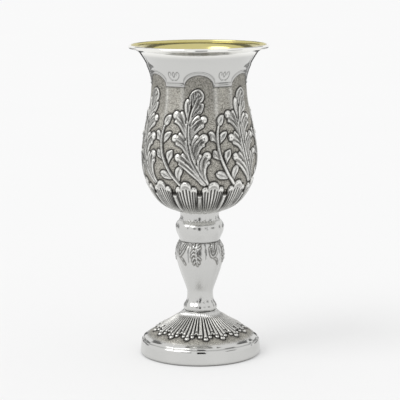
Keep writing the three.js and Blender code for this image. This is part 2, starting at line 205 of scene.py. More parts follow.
class Carving:
    """A height map of one panel of an unrolled wall, which repeats round the axis.

    lift is the height over the wall, gap the distance from the nearest form (below 0 inside one), cuts
    the depth of grooves, lines their tarnish and shade all other tarnish together with the painted
    shade.
    """

    FAR = 9.0  # a gap beyond every effect
    TROUGH_WIDTH = 0.55
    HAZE_WIDTH = 1.7

    def __init__(self, span, low, high, scale, cell=0.2):
        self.low, self.scale, self.cell = low, scale, cell
        self.columns = int(round(span * scale / cell))
        self.rows = int(round((high - low) / cell)) + 1
        across, self.up = np.meshgrid(np.arange(self.columns) * cell, low + np.arange(self.rows) * cell)
        self.angle = across / scale
        self.lift, self.cuts, self.lines, self.shade = np.zeros((4, *across.shape))
        self.gap = np.full_like(across, self.FAR)

    def cells_near(self, centre, reach):
        """The cells near a point, and how far each of them is from it."""
        column, row = centre[0] / self.cell, (centre[1] - self.low) / self.cell
        wide = int(reach / self.cell) + 2
        columns = np.arange(int(column) - wide, int(column) + wide + 1)
        rows = np.arange(max(0, int(row) - wide), min(self.rows, int(row) + wide + 1))
        cells = np.ix_(rows, columns % self.columns)
        away = np.hypot((columns - column)[None, :] * self.cell, (rows - row)[:, None] * self.cell)
        return cells, away

    def line(self, points):
        """A smooth line through points of angle and height, in millimetres of the unrolled wall."""
        return smooth_line(np.array(points, float) * (self.scale, 1))

    @staticmethod
    def raise_to(values, cells, least):
        """Raises a map's cells to the least values, where they're lower."""
        values[cells] = np.maximum(values[cells], least)

    def form(self, points, half_width, lift, roundness=0.5):
        """A rounded raised form along a line. Half width and lift are lists of shares along it."""
        line, share = self.line(points)
        widths = np.interp(share, np.linspace(0, 1, len(half_width)), half_width)
        lifts = np.interp(share, np.linspace(0, 1, len(lift)), lift)
        for centre, width, height in zip(line, widths, lifts):
            cells, away = self.cells_near(centre, width + 1.5)
            self.raise_to(self.lift, cells, height * np.maximum(0, 1 - (away / width) ** 2) ** roundness)
            self.gap[cells] = np.minimum(self.gap[cells], away - width)

    def ball(self, across, up, radius, lift):
        self.form([(across, up), (across + 0.1, up)], (radius,), (lift,))

    def cut(self, points, half_width, depth, dark=0.9):
        """A narrow groove along a line, darkened by tarnish."""
        line, share = self.line(points)
        fade = np.minimum(1, 4 * np.minimum(share + 0.1, 1.1 - share))
        for centre, strength in zip(line, fade):
            cells, away = self.cells_near(centre, half_width)
            groove = strength * np.maximum(0, 1 - (away / half_width) ** 2)
            self.raise_to(self.cuts, cells, depth * groove)
            self.raise_to(self.lines, cells, dark * np.minimum(1, 2.0 * groove))

    def tint(self, points, half_width, dark):
        """Soft darkening along a line: painted shade, with the darker tone of a hatched web."""
        for centre in self.line(points)[0]:
            cells, away = self.cells_near(centre, 1.6 * half_width)
            self.raise_to(self.shade, cells, dark * np.exp(-((away / half_width) ** 4)))

    def plate(self, outline, lift, edge):
        """A raised field inside a closed outline, rounded off towards its edge."""
        line, _ = self.line([*outline, outline[0]])
        low, high = line.min(0) - 2.5, line.max(0) + 2.5
        columns = np.arange(int(low[0] / self.cell), int(high[0] / self.cell) + 1)
        rows = np.arange(max(0, int((low[1] - self.low) / self.cell)),
                         min(self.rows, int((high[1] - self.low) / self.cell) + 1))
        cells = np.ix_(rows, columns % self.columns)
        across, up = np.meshgrid(columns * self.cell, self.low + rows * self.cell)
        inside = np.zeros(across.shape, bool)
        away = np.full(across.shape, self.FAR)
        for (x0, y0), (x1, y1) in zip(line, np.roll(line, -1, 0)):
            rise = y1 - y0 if y1 != y0 else 1e-9
            inside ^= ((y0 > up) != (y1 > up)) & (across < (x1 - x0) * (up - y0) / rise + x0)
            away = np.minimum(away, np.hypot(across - x0, up - y0))
        step = np.where(inside, np.minimum(1, away / edge), 0)
        self.raise_to(self.lift, cells, lift * hump(1 - step))
        self.gap[cells] = np.minimum(self.gap[cells], np.where(inside, -away, away))

    def blur(self, values, reach):
        """Values averaged over a soft round reach."""
        steps = int(3 * reach / self.cell) + 1
        weights = np.exp(-0.5 * (np.arange(-steps, steps + 1) * self.cell / reach) ** 2)
        weights /= weights.sum()
        padded = np.pad(values, ((steps, steps), (0, 0)), mode="edge")
        soft = sum(weight * padded[i:i + self.rows] for i, weight in enumerate(weights))
        return sum(weight * np.roll(soft, i - steps, 1) for i, weight in enumerate(weights))

    def settle(self, trough=0.3, sharpness=0.18, outline=1.0, haze=0.25):
        """Sinks the ground beside the forms, cuts the grooves and finds the dark and rubbed places. The
        rubbed places also carry a painted highlight on the forms' tops and painted shade on their
        flanks.
        """
        gap = np.maximum(self.gap, 0)
        beside = peak(gap, 0, self.TROUGH_WIDTH) * (self.gap > -0.1)
        self.lift = self.lift - trough * beside - self.cuts
        proud = self.lift - self.blur(self.lift, 0.8)
        hollow = self.blur(self.lift, 0.55) - self.lift
        deep = np.clip((hollow - 0.03) / sharpness, 0, 1) * 0.85
        edge = np.clip(1.35 * outline * peak(self.gap, 0.28, 0.42), 0, outline)
        soft = haze * peak(gap, 0, self.HAZE_WIDTH) * (self.gap > 0)
        shade = np.maximum.reduce([self.shade, deep, edge, soft, self.lines])
        # proud places: partly real wear, partly a painted highlight on the tops of forms with painted
        # shade on their flanks
        self.rub = self.blur(np.clip(0.5 + proud / 0.3, 0, 1), 0.13)
        self.lift = self.blur(self.lift, 0.16)
        self.shade = self.blur(shade, 0.08)

    def read(self, values, angle, up):
        """Values of a map at angles and heights, between its cells."""
        column = (angle * self.scale / self.cell) % self.columns
        row = np.clip((up - self.low) / self.cell, 0, self.rows - 1.001)
        c0, r0 = np.floor(column).astype(int) % self.columns, np.floor(row).astype(int)
        c1, r1 = (c0 + 1) % self.columns, r0 + 1
        fc, fr = column - np.floor(column), row - r0
        return ((values[r0, c0] * (1 - fc) + values[r0, c1] * fc) * (1 - fr)
                + (values[r1, c0] * (1 - fc) + values[r1, c1] * fc) * fr)

    def marks(self, carved, angle, up, **others):
        """The named maps at angles and heights, each with its other value where nothing is carved."""
        return {name: np.where(carved, self.read(getattr(self, name), angle, up), other)
                for name, other in others.items()}


def points(*tenths):
    """Points of angle and height, from angles in tenths and heights in tenths above 100 mm."""
    return (np.array(tenths).reshape(-1, 2) + (0, 1000)) / 10


# ------------------------------------------------------------------ bowl relief

# One lobe of the plume each: its outline, its rounded ridges with half widths and lifts, the balls at
# their ends, its engraved lines and its sunk web, darkened with painted shade. Angles are from the
# middle of a panel.
LOBES = [
    {"outline": points(-100, 586, -96, 610, -85, 624, -63, 642, -37, 656, -10, 666, 6, 658, 12, 646,
         33, 655, 54, 658, 80, 648, 89, 632, 78, 615, 54, 609, 56, 593, 44, 582, 16, 572, -10, 562,
         -32, 548, -54, 532, -74, 506, -96, 490, -110, 530),
     "ridges": [
         (points(-92, 596, -74, 616, -45, 639, -12, 652), (0.4, 0.5, 0.8, 1.05), (0.6, 1.0)),
         (points(-86, 576, -70, 594, -38, 614, -8, 627, 22, 633), (0.4, 0.45, 0.5), (0.7, 1.0)),
         (points(-76, 514, -54, 539, -28, 560, -2, 579, 18, 590), (0.4, 0.45, 0.5), (0.6, 0.9))],
     "balls": [(5.2, 163.3, 1.95, 1.12), (3.4, 159.3, 1.05, 0.95)],
     "lines": [points(-74, 601, -54, 616, -28, 633), points(-46, 564, -26, 583, 4, 604)],
     "web": points(-62, 576, -36, 595, -4, 609, 22, 615)},
    {"outline": points(-142, 604, -148, 626, -159, 658, -174, 680, -194, 689, -211, 684, -222, 676,
         -234, 684, -260, 688, -286, 684, -304, 670, -304, 652, -288, 638, -270, 635, -282, 618,
         -270, 608, -252, 606, -224, 592, -203, 575, -181, 553, -163, 533, -148, 510, -132, 504,
         -126, 560),
     "ridges": [
         (points(-144, 590, -159, 626, -176, 653, -195, 674), (0.4, 0.5, 0.7, 1.1), (0.6, 1.0)),
         (points(-140, 546, -166, 586, -196, 620, -240, 652), (0.5, 0.8, 1.0, 1.5), (0.6, 0.8, 1.1)),
         (points(-142, 524, -166, 560, -194, 587, -224, 604, -256, 616), (0.4, 0.5, 0.6), (0.6, 0.85))],
     "balls": [(-26.6, 166.2, 2.2, 1.12), (-26.2, 161.8, 0.85, 0.9)],
     "lines": [points(-176, 606, -203, 634, -242, 658), points(-162, 592, -184, 622, -204, 644),
         points(-166, 578, -194, 606, -218, 622)],
     "web": points(-158, 576, -186, 599, -220, 616)},
    {"outline": points(-92, 460, -82, 492, -64, 518, -52, 532, -32, 540, -12, 536, -2, 524, 16, 534,
         42, 544, 72, 539, 90, 522, 89, 500, 72, 489, 58, 482, 59, 470, 53, 462, 33, 456, 11, 439,
         -2, 419, -16, 400, -30, 376, -58, 356, -82, 404),
     "ridges": [
         (points(-80, 466, -62, 494, -46, 512, -30, 524), (0.4, 0.6, 0.9, 1.1), (0.6, 0.95)),
         (points(-62, 424, -54, 460, -40, 482, -10, 499, 30, 515), (0.4, 0.5, 0.6), (0.7, 1.05)),
         (points(-32, 386, -21, 420, -4, 448, 18, 464), (0.4, 0.5, 0.55), (0.65, 0.9))],
     "balls": [(5.5, 151.4, 2.1, 1.12), (4.1, 147.1, 0.95, 0.95)],
     "lines": [points(-47, 484, -38, 496, -24, 508), points(-22, 474, -6, 490, 24, 507)],
     "web": points(-38, 426, -26, 456, -2, 474, 30, 489)},
    {"outline": points(-139, 496, -152, 522, -176, 539, -203, 553, -220, 546, -228, 532, -250, 539,
         -280, 532, -294, 514, -286, 495, -262, 488, -250, 486, -246, 472, -234, 465, -203, 457,
         -172, 442, -150, 419, -116, 394, -108, 430, -122, 470),
     "ridges": [
         (points(-142, 492, -166, 516, -190, 532, -209, 542), (0.4, 0.5, 0.8), (0.6, 0.9)),
         (points(-126, 440, -152, 472, -186, 496, -228, 512), (0.5, 0.8, 1.0, 1.2), (0.6, 0.8, 1.05)),
         (points(-124, 416, -148, 444, -184, 466, -226, 479), (0.4, 0.5, 0.6), (0.6, 0.85))],
     "balls": [(-25.7, 151.4, 2.15, 1.12), (-23.6, 147.9, 0.75, 0.85)],
     "lines": [points(-155, 492, -172, 506, -194, 520), points(-152, 476, -181, 499, -224, 514),
         points(-146, 456, -174, 474, -204, 486)],
     "web": points(-146, 459, -176, 479, -214, 490)},
    {"outline": points(-39, 340, -32, 369, -28, 389, -15, 406, 7, 415, 24, 409, 32, 398, 42, 418,
         68, 427, 94, 426, 112, 412, 115, 396, 105, 380, 88, 372, 106, 366, 104, 352, 86, 338, 72, 322,
         68, 299, 68, 274, 77, 252, 98, 216, 76, 204, 46, 236, 2, 284, -26, 314),
     "ridges": [
         (points(46, 240, 6, 286, -16, 316, -19, 350, -9, 378, 5, 396), (0.5, 0.6, 0.6, 0.8, 1.05),
             (0.6, 0.7, 0.95)),
         (points(34, 270, 14, 314, 13, 356, 30, 384, 60, 406), (0.4, 0.5, 0.6), (0.6, 1.05)),
         (points(90, 216, 62, 256, 52, 299, 59, 336, 74, 356, 90, 362), (0.7, 0.6, 0.6, 0.7),
             (0.6, 0.9)),
         (points(59, 336, 63, 362, 82, 386), (0.5, 0.5), (0.8, 1.0))],
     "balls": [(8.4, 140.4, 1.95, 1.12), (9.3, 135.8, 0.9, 0.95)],
     "lines": [points(-5, 324, -3, 356, 12, 380), points(40, 344, 41, 366, 56, 388)],
     "web": points(32, 314, 32, 350, 47, 376, 58, 390)},
    {"outline": points(-96, 366, -108, 384, -132, 402, -159, 417, -176, 416, -186, 404, -203, 411,
         -224, 413, -246, 405, -255, 391, -249, 377, -233, 363, -212, 356, -218, 344, -203, 335,
         -172, 320, -146, 306, -115, 287, -72, 262, -28, 237, 24, 204, 66, 204, 6, 260, -46, 316),
     "ridges": [
         (points(-96, 360, -120, 372, -146, 392, -170, 405), (0.4, 0.6, 0.8, 0.95), (0.6, 0.95)),
         (points(36, 218, -44, 284, -104, 330, -162, 366, -202, 382), (0.6, 0.9, 1.1, 1.5),
             (0.6, 0.8, 1.1)),
         (points(24, 214, -28, 250, -98, 294, -159, 328, -204, 345), (0.6, 0.6, 0.6), (0.6, 0.8))],
     "balls": [(-22.0, 138.7, 2.0, 1.12), (-20.4, 134.5, 0.7, 0.85)],
     "lines": [points(-115, 353, -150, 369, -190, 385), points(-60, 286, -115, 319, -154, 338),
         points(-94, 344, -124, 352, -146, 358)],
     "web": points(-82, 316, -120, 340, -154, 354)},
]
RIBBONS = [
    points(62, 210, 4, 258, -34, 298, -72, 348, -98, 389, -114, 430, -130, 480, -138, 535, -137, 580,
        -134, 620),
    points(84, 216, 38, 250, -2, 294, -42, 346, -72, 396, -92, 450, -109, 510, -113, 560, -109, 613),
]
MIDRIB = points(74, 214, 24, 252, -14, 291, -50, 334, -85, 386, -102, 430, -117, 480, -126, 533,
    -125, 575, -121, 614)
PITS = points(-101, 597, -146, 616, -87, 474, -146, 508, -32, 352)
CROWN = points(-102, 610, -109, 639, -102, 668, -88, 694, -80, 718, -94, 742, -116, 772, -98, 797,
    -76, 814, -44, 826, -16, 831, 12, 828, 38, 816, 56, 798, 62, 780, 52, 759, 34, 746, 16, 739, 48, 739,
    57, 724, 49, 703, 33, 682, 12, 669, -22, 667, -56, 652, -82, 629, -94, 602)
CROWN_RIDGES = [
    (points(-110, 776, -92, 798, -64, 814, -26, 823, 0, 823, 25, 809, 45, 790, 42, 772, 30, 758, 8, 739),
        (0.55, 0.6, 0.7, 0.5), (0.85, 1.05)),
    (points(42, 730, 42, 712, 34, 694, 19, 676), (0.75, 0.65, 0.4), (0.95, 0.8)),
    (points(-107, 613, -88, 666, -63, 705, -45, 734, -18, 768), (0.7, 0.6, 0.4), (0.85, 0.9)),
    (points(-68, 670, -43, 689, -6, 712), (0.4, 0.35), (0.75, 0.7)),
    (points(-32, 782, -12, 798, 6, 794), (0.7, 0.8, 0.5), (0.75,)),
    (points(4, 764, 26, 774), (0.4, 0.45), (0.9,)),
    (points(-100, 728, -102, 756, -98, 776), (0.4, 0.6, 0.4), (0.7,)),
    (points(-74, 746, -74, 776, -79, 798), (0.35, 0.5, 0.4), (0.75,)),
    (points(-52, 760, -52, 786, -56, 806), (0.35, 0.45, 0.4), (0.75,)),
]
CROWN_LINES = [
    points(-78, 706, -52, 743, -29, 772), points(-87, 736, -87, 767), points(-65, 766, -66, 798),
    points(-40, 788, -41, 805), points(-16, 813, 12, 806, 19, 788, 4, 779, -16, 780),
    points(2, 746, 19, 763), points(-34, 706, -14, 728, 0, 740), points(-46, 673, -16, 689, 6, 704),
]
CROWN_WEB = points(-30, 690, -6, 720, -16, 756)
LEAFLET = points(-136, 624, -148, 656, -166, 686, -174, 718, -169, 741, -154, 759, -133, 768, -116, 762,
    -104, 740, -102, 706, -113, 675, -121, 650, -126, 624)
LEAFLET_FOLD = points(-132, 738, -128, 705, -130, 674)
SPRIG = points(386, 208, 314, 263, 267, 313, 227, 368, 204, 413, 191, 463, 187, 505, 191, 547, 206, 588)
# Leaves of the sprig: outline, line of the fold, lift and width of the rounded edge
BLADES = [
    (points(284, 662, 240, 661, 203, 643, 189, 618, 199, 597, 223, 589, 252, 600, 271, 623, 280, 646),
        points(214, 604, 236, 630, 268, 654), 0.75, 2.2),
    (points(210, 476, 209, 522, 226, 543, 260, 554, 300, 552, 284, 524, 254, 500), points(216, 486,
        236, 520, 284, 546), 0.5, 1.5),
    (points(92, 549, 122, 561, 153, 549, 168, 526, 174, 482, 149, 494, 116, 500, 106, 526),
        points(106, 542, 136, 528, 164, 498), 0.5, 1.5),
    (points(134, 430, 155, 438, 188, 424, 199, 396, 208, 370, 164, 380, 137, 390, 130, 410),
        points(142, 426, 166, 404, 200, 376), 0.5, 1.5),
    (points(272, 336, 266, 366, 252, 390, 252, 412, 269, 427, 322, 438, 329, 420, 325, 394, 300, 369),
        points(272, 344, 284, 394, 316, 428), 0.5, 1.7),
    (points(162, 280, 181, 295, 221, 300, 260, 287, 296, 258, 304, 242, 240, 241, 201, 247, 174, 263),
        points(176, 279, 224, 270, 288, 249), 0.55, 1.9),
    (points(374, 226, 346, 262, 344, 292, 360, 318, 398, 331, 428, 314, 424, 286, 402, 262, 394, 236),
        points(378, 234, 378, 280, 402, 320), 0.5, 1.8),
]
TICKS = [
    points(108, 534, 126, 512), points(122, 546, 140, 520), points(138, 542, 156, 518),
    points(138, 420, 156, 422), points(138, 409, 162, 410), points(140, 398, 172, 396),
    points(224, 636, 246, 648), points(228, 618, 256, 634), points(244, 514, 274, 536),
    points(276, 380, 306, 408), points(196, 264, 236, 256),
]
# The ornament over each end of an arch, one half of it
CREST = [
    points(2, 884, 36, 890, 63, 908, 66, 930, 49, 941, 32, 932, 36, 918),
    points(0, 943, 15, 924, 0, 904),
]

PANEL = 60
BOWL_SCALE = 0.636  # millimetres of the unrolled wall to a degree
# Calyx, with the edges of a shell's eight ribs as shares of its half width
SHELL_PITCH = 30
SHELL_NOTCH = 5.9  # from a shell's middle to the notch in its upper edge
TONGUE_HALF_WIDTH = 1.85
TONGUE_TOP = 113.4
BOSS_HEIGHT = 115.4
SHELL_RIBS = ([-1.0, -0.84, -0.6, -0.3, 0.02, 0.33, 0.58, 0.82, 1.0],
              [-1.0, -0.76, -0.5, -0.2, 0.12, 0.4, 0.64, 0.84, 1.0])
# Border: outer and inner line, each the arch's half angle, foot and rise, and the level between arches
BORDER = ((18.6, 187.2, 7.0, 186.8), (17.0, 184.4, 7.3, 183.9))


def shell_edge(offset):
    """Height of a calyx shell's upper edge, at an angle from its middle."""
    crown = 119.2 + 3.5 * hump(offset / 6.0)
    side = 114.8 + 4.6 * hump((offset - 8.4) / 4.9)
    return np.where(offset < SHELL_NOTCH, crown, side)


def carve_calyx(panel):
    """Twelve fluted shells, with a ribbed tongue and a ringed boss between each two."""
    wall = bowl_wall()[:UNDER_STEPS]
    radius = np.interp(panel.up, wall[:, 1], wall[:, 0])
    half_pitch = SHELL_PITCH / 2
    signed = nearest(panel.angle, SHELL_PITCH, half_pitch)
    offset = np.abs(signed)
    tongue = np.clip(math.degrees(TONGUE_HALF_WIDTH) / radius, 3.0, 8.5)
    half_shell = half_pitch - tongue

    # Eight ribs, spread a little differently over every second shell
    across = signed / half_shell
    second = (panel.angle % (2 * SHELL_PITCH)) > SHELL_PITCH
    edges = np.where(second[..., None], *SHELL_RIBS)
    rib = np.clip((across[..., None] >= edges).sum(-1) - 1, 0, 7)
    left = np.take_along_axis(edges, rib[..., None], -1)[..., 0]
    right = np.take_along_axis(edges, rib[..., None] + 1, -1)[..., 0]
    half_rib = (right - left) / 2
    place = (across - (left + right) / 2) / half_rib
    from_middle = arc_length(np.abs(place) * half_rib * half_shell, radius)
    from_edge = arc_length(half_rib * (1 - np.abs(place)) * half_shell, radius)

    # The shells, which fade out towards the bowl's seat
    below = shell_edge(offset) - panel.up
    start = np.where(offset < 6, 4.3, 2.6) + 0.02 * from_middle
    depth = ease(below, start, start + 0.9)
    fade = ease(panel.up, 97, 107)
    on_shell = (offset < half_shell) & (below > 0)
    flute = depth * (0.25 + 0.5 * fade) * (1 - hump(place))
    body = 0.35 + 0.8 * fade - flute + 0.22 * peak(below, 1.3, 1.2)
    shell = body * np.sqrt(np.clip(below / 0.9, 0, 1))
    groove = depth * np.clip(1.2 * peak(from_edge, 0, 0.46), 0, 1)
    groove *= 0.08 + 0.92 * ease(panel.up, 101.5, 108)

    # The tongues between them
    beside = arc_length(offset - half_shell, radius)
    flat = arc_length(half_pitch - offset, radius)
    in_tongue = (beside > 0) & (panel.up < TONGUE_TOP)
    tongue_lift = 0.35 + 0.55 * fade * hump(flat / 2.1) + 0.3 * peak(panel.up, TONGUE_TOP - 0.5, 0.5)
    tongue_dark = peak(beside, 0.1, 0.42) * (0.08 + 0.92 * ease(panel.up, 101, 108)) * (panel.up < 113)
    tongue_dark += 0.35 * peak(flat, 0.75, 0.2) * in_tongue * (panel.up < 112)

    inside = on_shell | in_tongue
    raised = np.where(on_shell, shell, np.where(in_tongue, tongue_lift, 0))
    above = np.minimum(np.maximum(beside, 0), np.maximum(panel.up - TONGUE_TOP, 0))
    gap = np.maximum(np.where(below < 0, -below * 0.75, above), 0)
    panel.gap = np.where(inside, -1.5, np.minimum(panel.gap, gap))
    ring = np.hypot(flat / 1.75, (panel.up - BOSS_HEIGHT) / 1.4)
    pit = peak(ring, 0.84, 0.26)
    kept = np.where(panel.up < 118, np.minimum(panel.lift, 0.2), panel.lift)
    panel.lift = np.where(inside, raised, kept) - 0.5 * pit + 0.5 * np.exp(-((ring / 0.5) ** 4))
    dark = np.clip(groove + tongue_dark, 0, 1)
    panel.shade = np.maximum(np.where(inside, dark, panel.shade * (panel.gap > -0.5)), pit)
    panel.cuts = np.where(inside, 0.35 * dark, panel.cuts)
    notch = peak((offset - SHELL_NOTCH) * BOWL_SCALE, 0, 0.28) * ease(panel.up, 117.0, 118.6)
    notch *= below > -0.3
    panel.lines = np.maximum(np.where(inside, 0, panel.lines), 0.8 * notch)


def carve_border(panel):
    """The scalloped border, the plain top above it and the soft folds below its ends."""
    turned = np.abs(nearest(panel.angle, PANEL))
    arch, inner = (np.where(turned < half, foot + rise * hump(turned / half), flat)
                   for half, foot, rise, flat in BORDER)
    plain = panel.up > inner
    step = 0.42 * ease(panel.up, inner - 0.35, inner + 0.35)
    panel.lift = np.where(panel.up > inner - 0.5, step, panel.lift)
    panel.gap = np.where(plain, -2, panel.gap)
    for edge, depth, dark in ((arch, 0.2, 0.62), (arch - 1.1, 0.12, 0.35), (inner + 0.15, 0.2, 0.95)):
        steep = np.hypot(1, np.gradient(edge, panel.cell, axis=1))
        line = peak((panel.up - edge) / steep, 0, 0.3)
        panel.cuts = np.maximum(panel.cuts, depth * line)
        panel.lines = np.maximum(panel.lines, dark * line)
    panel.lift += 0.4 * ease(turned, 18, 20) * peak(panel.up, 185.3, 0.75)
    for side in (-1, 1):
        for line in CREST:
            panel.cut(line * (side, 1) + (PANEL / 2, 0), 0.3, 0.2, 0.7)
    folds = peak(turned, 19.8, 3.2) * ease(panel.up, 148, 168) * (1 - ease(panel.up, 182, 186))
    panel.lift += 0.65 * folds * (panel.gap > 0)
    # painted shade on the ground under each arch, beside the crown
    arch_shade = 0.2 * (panel.gap > 0.4) * ease(panel.up, 158, 176) * (turned < BORDER[1][0])
    panel.shade = np.maximum(panel.shade, arch_shade)
    panel.ground = np.clip(panel.gap / 0.25, 0, 1) * ~plain * (1 - 0.5 * folds)
    panel.top = ease(panel.up, inner, inner + 0.6)


def bowl_carving():
    """One sixth of the bowl: a plume and a sprig over two shells, under one arch of the border."""
    panel = Carving(PANEL, 97, CARVED_TOP, BOWL_SCALE)
    for ribbon in RIBBONS:
        panel.form(ribbon, (0.6, 0.95, 1.05, 1.0, 0.8), (0.75, 0.85, 0.75))
    for lobe in LOBES:
        panel.plate(lobe["outline"], 0.4, 0.6)
        for ridge in lobe["ridges"]:
            panel.form(*ridge)
        for ball in lobe["balls"]:
            panel.ball(*ball)
        for line in lobe["lines"]:
            panel.cut(line, 0.4, 0.3, 0.85)
        # the web is darkened with painted shade
        panel.tint(lobe["web"], 0.9, 0.68)
    panel.plate(CROWN, 0.5, 0.7)
    for ridge in CROWN_RIDGES:
        panel.form(*ridge, 0.6)
    for line in CROWN_LINES:
        panel.cut(line, 0.4, 0.25, 0.8)
    # painted shade over the crown's web
    panel.tint(CROWN_WEB, 1.3, 0.4)
    panel.plate(LEAFLET, 0.95, 1.9)
    panel.cut(LEAFLET_FOLD, 0.4, 0.4)
    panel.cut(MIDRIB, 0.4, 0.45, 0.95)
    for pit in PITS:
        panel.cut([pit + (-0.15, 0.6), pit + (0.1, -0.6)], 0.6, 0.6, 1.0)
    panel.form(SPRIG, (1.15, 1.0, 0.88, 0.8), (1.15, 1.1, 1.05))
    for outline, fold, lift, edge in BLADES:
        panel.plate(outline, lift, edge)
        panel.cut(fold, 0.3, 0.15, 0.5)
    for line in TICKS:
        panel.cut(line, 0.25, 0.12, 0.5)
    carve_calyx(panel)
    carve_border(panel)
    panel.settle()
    panel.ground = panel.blur(panel.ground, 0.15)
    panel.chased = 1 - panel.top
    panel.lift *= 1 - ease(panel.up, CARVED_TOP - 2, CARVED_TOP)
    panel.rub = np.maximum.reduce([panel.rub, panel.top, 0.95 * (1 - ease(panel.up, 99, 106))])
    return panel


# ------------------------------------------------------------------ stem and foot relief

# Curves of the castings, from their base up: a start, then two pulls, an end and a number of steps each
KNOP_SIDE = ((13.4, 0), ((14.1, 3.2), (16.4, 5.2), (16.4, 9.4), 20),
             ((16.4, 11.9), (14.7, 13.1), (13.45, 14.8), 20),
             ((13.0, 16.2), (13.0, 18.0), (13.5, 20.25), 14))
COLLAR_BEADS = 40
CREASE_RISE = 47.38
BALUSTER_SIDE = ((10.9, -0.28), ((11.6, 0.5), (11.7, 2.4), (10.7, 3.9), 12),
                 ((10.1, 4.8), (9.3, 6.0), (9.1, 7.4), 8), ((8.8, 8.6), (8.75, 10.5), (8.8, 12.0), 8),
                 ((8.9, 15.6), (16.25, 29.8), (16.3, 39.0), 40),
                 ((16.3, 43.0), (14.3, 45.5), (13.4, CREASE_RISE), 20))
# Baluster: its hanging leaves and scrolls
STALK = points(-60, -372, -80, -330, -90, -285, -85, -245, -70, -216)
LEAVES = [
    points(-85, -264, -45, -244, 6, -234), points(-85, -276, -40, -262, 10, -251),
    points(-90, -246, -65, -230, -25, -220), points(-95, -258, -145, -248, -205, -258),
    points(-95, -278, -155, -270, -215, -286), points(-95, -300, -160, -294, -215, -312),
    points(-90, -324, -145, -320, -185, -340), points(-80, -314, -40, -314, 4, -328),
    points(-75, -336, -40, -340, -20, -356), points(-80, -344, -125, -346, -150, -362),
]
CURL = points(-240, -238, -225, -224, -185, -221, -150, -230, -165, -241, -210, -243)
SCROLLS = [
    points(235, -216, 290, -214, 345, -228, 325, -248, 285, -250),
    points(255, -256, 260, -288, 295, -312, 365, -312, 445, -288, 505, -254, 535, -226),
    points(385, -274, 440, -254, 480, -228), points(380, -328, 435, -336, 500, -368),
    points(330, -274, 360, -256, 410, -226),
]
STEM_LINES = [
    points(145, -224, 145, -260, 145, -330), points(-300, -230, -302, -280, -296, -355),
]
# Baluster: soft darkening along lines, painted shade
STEM_TINTS = [
    (points(-60, -286, -36, -295, -8, -288, -2, -274), 0.65, 0.95),
    (points(286, -271, 294, -291, 326, -299, 405, -288), 0.4, 0.9),
    (points(126, -222, 132, -232), 0.5, 0.9), (points(446, -341, 468, -350), 0.45, 0.85),
    (points(275, -231, 315, -235), 0.4, 0.8),
]

def stem_carving():
    """Leaves and scrolls that hang from the top of the baluster, four times round."""
    panel = Carving(90, 54, 78.8, 0.28, 0.1)
    panel.form(STALK, (0.3, 0.6, 0.7, 0.6), (0.4, 0.75))
    for leaf in LEAVES:
        panel.form(leaf, (0.4, 0.62, 0.5), (0.55, 0.75, 0.65))
    panel.form(CURL, (0.35, 0.45, 0.35), (0.5, 0.65))
    for scroll in SCROLLS:
        panel.form(scroll, (0.35, 0.55, 0.6, 0.4), (0.45, 0.7, 0.5))
    for line in STEM_LINES:
        panel.cut(line, 0.32, 0.3, 0.9)
    for tint in STEM_TINTS:
        panel.tint(*tint)
    panel.near = panel.blur(np.clip(1.3 - np.maximum(panel.gap, 0), 0, 1), 0.3)
    panel.settle(0.14, 0.24, 0.4, 0.05)
    return panel


# Foot: edges of a shell's middle rib, of the rib beside it and of the one between two shells, as angles
# from the shell's middle, and the radius at which each ends
FOOT_PITCH = 22.5
FOOT_RIBS = np.array([-2.9, 2.9, 8.6, 13.9])
FOOT_RIB_TIPS = np.array([30.6, 28.4, 25.6])
# Beads at the ribs' ends: angle, radius, half width, half length and lift
BEADS = ((0, 30.7, 1.75, 1.4, 1.2), (6.2, 28.7, 1.35, 1.2, 1.05), (-6.2, 28.7, 1.35, 1.2, 1.05),
         (11.25, 25.3, 1.0, 0.9, 1.0), (8.9, 26.2, 0.75, 0.75, 0.85), (-8.9, 26.2, 0.75, 0.75, 0.85))


def foot_carving():
    """Sixteen fluted shells of the foot's dome, mapped by angle and by radius."""
    panel = Carving(FOOT_PITCH, 10, 39, 0.5, 0.1)
    radius = panel.up
    offset = np.abs(nearest(panel.angle, FOOT_PITCH))
    rib = np.searchsorted(FOOT_RIBS[1:3], offset, side="right")
    low, high, tips = FOOT_RIBS[rib], FOOT_RIBS[rib + 1], FOOT_RIB_TIPS[rib]
    middle, half = (low + high) / 2, (high - low) / 2
    place = np.clip(np.abs(offset - middle) / half, 0, 1)
    inside = ease(-radius, -tips - 0.2, -tips + 0.2)
    panel.lift = inside * (0.3 + (0.25 + 0.95 * ease(radius, 11.5, 17)) * hump(place))
    panel.gap = np.where(inside > 0.5, -1.0, (radius - tips) * 0.9)
    from_edge = arc_length((1 - place) * half, radius)
    groove = inside * np.clip(1.25 * peak(from_edge, 0, 0.019 * radius + 0.12), 0, 1)
    groove *= ease(radius, 12, 14.5)
    for at, out, wide, tall, lift in BEADS:
        turned = arc_length(nearest(panel.angle, FOOT_PITCH, at), radius) / wide
        spread, curl, dimple = (np.hypot(turned, (radius - out + inwards * tall) / tall)
                                for inwards in (0, 0.45, 0.5))
        crescent = lift * hump(spread) * (1 - 0.45 * np.exp(-curl ** 2 / 0.12))
        panel.lift = np.where(spread < 1, np.maximum(0.25, crescent), panel.lift)
        panel.gap = np.minimum(panel.gap, (spread - 1) * tall)
        groove = np.where(spread < 1, 0.55 * np.exp(-dimple ** 2 / 0.1), groove)
    between = arc_length(nearest(panel.angle, FOOT_PITCH, FOOT_PITCH / 2), radius)
    pit = np.exp(-(np.hypot(between / 0.85, (radius - 27.5) / 1.1) ** 4))
    panel.shade = np.maximum(groove, 0.95 * pit)
    panel.cuts = np.maximum(0.2 * groove, 0.3 * pit)
    ground = np.clip(panel.gap / 0.2, 0, 1)
    panel.settle(0.25, 0.22, haze=0.42)
    panel.ground = panel.blur(ground, 0.12)
    return panel


# ------------------------------------------------------------------ turned pieces

